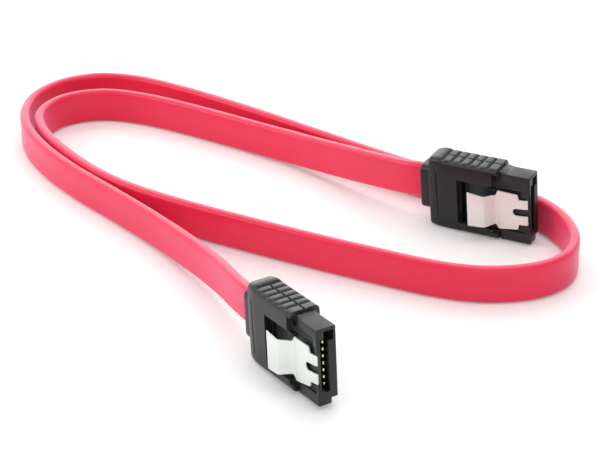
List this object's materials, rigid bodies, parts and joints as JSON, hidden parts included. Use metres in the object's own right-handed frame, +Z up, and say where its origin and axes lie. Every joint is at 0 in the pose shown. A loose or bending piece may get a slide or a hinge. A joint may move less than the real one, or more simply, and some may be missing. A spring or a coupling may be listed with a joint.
{
  "type": "flat drive data cable",
  "caption": "Flat data cable laid in a loop on its edge, with a ribbed latching plug and an L-shaped keyed slot at each end.",
  "frame": {"origin": "under the middle of the two plugs, on the surface they stand on", "axes": "+Z up from the surface; +Y away from the viewer of the picture and +X to the viewer's right"},
  "size_m": [0.109, 0.1275, 0.0157],
  "materials": {
    "hood_plastic": "satin black soft plastic",
    "nose_plastic": "smooth black hard plastic",
    "spring_steel": "bright spring steel",
    "contact_gold": "gold plated",
    "mould_plastic": "plain black",
    "jacket_vinyl": "satin red vinyl",
    "wire_foam": "plain",
    "tinned_copper": "tinned"
  },
  "bodies": {
    "cable": {"hood_a": "hood_plastic", "nose_a": "nose_plastic", "inner_mould_a": "mould_plastic", "contact_a1": "contact_gold", "contact_a2": "contact_gold", "contact_a3": "contact_gold", "contact_a4": "contact_gold", "contact_a5": "contact_gold", "contact_a6": "contact_gold", "contact_a7": "contact_gold", "hood_b": "hood_plastic", "nose_b": "nose_plastic", "inner_mould_b": "mould_plastic", "contact_b1": "contact_gold", "contact_b2": "contact_gold", "contact_b3": "contact_gold", "contact_b4": "contact_gold", "contact_b5": "contact_gold", "contact_b6": "contact_gold", "contact_b7": "contact_gold", "cable_jacket": "jacket_vinyl", "pair_1_wire_inner": "wire_foam", "pair_1_wire_outer": "wire_foam", "pair_1_drain_wire": "tinned_copper", "pair_2_wire_inner": "wire_foam", "pair_2_wire_outer": "wire_foam", "pair_2_drain_wire": "tinned_copper"},
    "latch_a": {"latch_a": "spring_steel"},
    "latch_b": {"latch_b": "spring_steel"}
  },
  "joints": [
    {"name": "latch_a_press", "type": "hinge", "parent": "cable", "child": "latch_a", "pos_m": [-0.01524, -0.03449, 0.00724], "axis": [0.0302, -0.049, -0.9983], "range_deg": [0, 5.5], "stiffness_Nm_per_rad": 0.05},
    {"name": "latch_b_press", "type": "hinge", "parent": "cable", "child": "latch_b", "pos_m": [0.02449, 0.02139, 0.00685], "axis": [0.0611, 0.0348, -0.9975], "range_deg": [0, 5.5], "stiffness_Nm_per_rad": 0.05}
  ]
}
